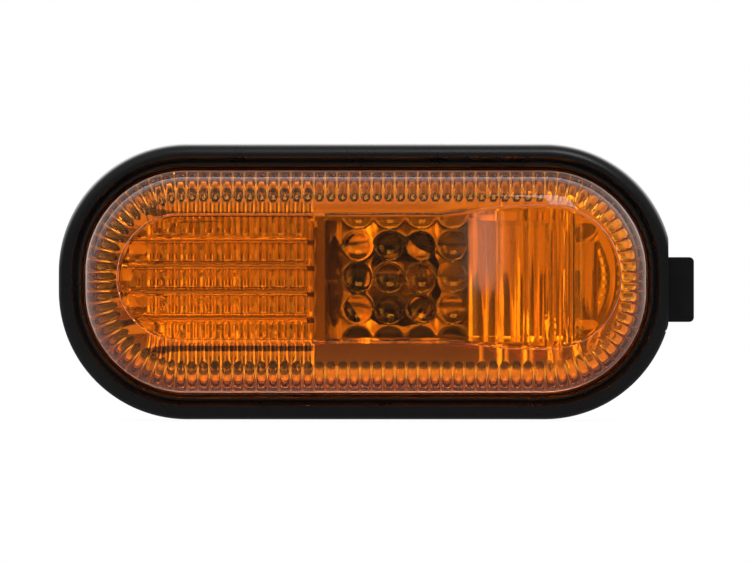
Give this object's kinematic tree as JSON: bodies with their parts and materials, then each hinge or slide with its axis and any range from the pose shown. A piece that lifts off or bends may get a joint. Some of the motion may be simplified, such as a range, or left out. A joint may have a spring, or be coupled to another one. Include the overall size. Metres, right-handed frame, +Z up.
{
  "type": "side repeater lamp",
  "caption": "Oval amber side repeater lamp with a black surround, locating tongue, spring clip and a quarter turn bulb holder behind.",
  "frame": {"origin": "centre of the lamp's oval on the outer face of the wing panel, where the panel gasket seats", "axes": "+X along the lamp towards its locating tongue, +Y into the car through the panel, +Z up; the lens faces -Y"},
  "size_m": [0.083, 0.0484, 0.036],
  "materials": {
    "surround": "fine satin grain",
    "amber": "polished clear moulding",
    "black_housing": "moulded",
    "bright_insert": "plated",
    "foam": "closed cell foam",
    "spring_steel": "zinc plated",
    "bulb_glass": "clear",
    "lead_wire": "drawn",
    "tungsten": "drawn",
    "holder_plastic": "glass filled moulding",
    "seal_rubber": "matt",
    "terminal_brass": "tinned edge"
  },
  "bodies": {
    "lamp": {"trim_ring": "surround", "lens": "amber", "housing": "black_housing", "reflector": "bright_insert", "panel_gasket": "foam", "spring_clip": "spring_steel"},
    "holder": {"bulb_holder": "holder_plastic", "holder_seal": "seal_rubber", "terminal_left": "terminal_brass", "terminal_right": "terminal_brass", "bulb_glass": "bulb_glass", "lead_wire_left": "lead_wire", "lead_wire_right": "lead_wire", "filament": "tungsten"}
  },
  "joints": [
    {"name": "holder_turn", "type": "hinge", "parent": "lamp", "child": "holder", "pos_m": [0.0041, 0.016, 0], "axis": [0, 1, 0], "range_deg": [0, 40]}
  ]
}
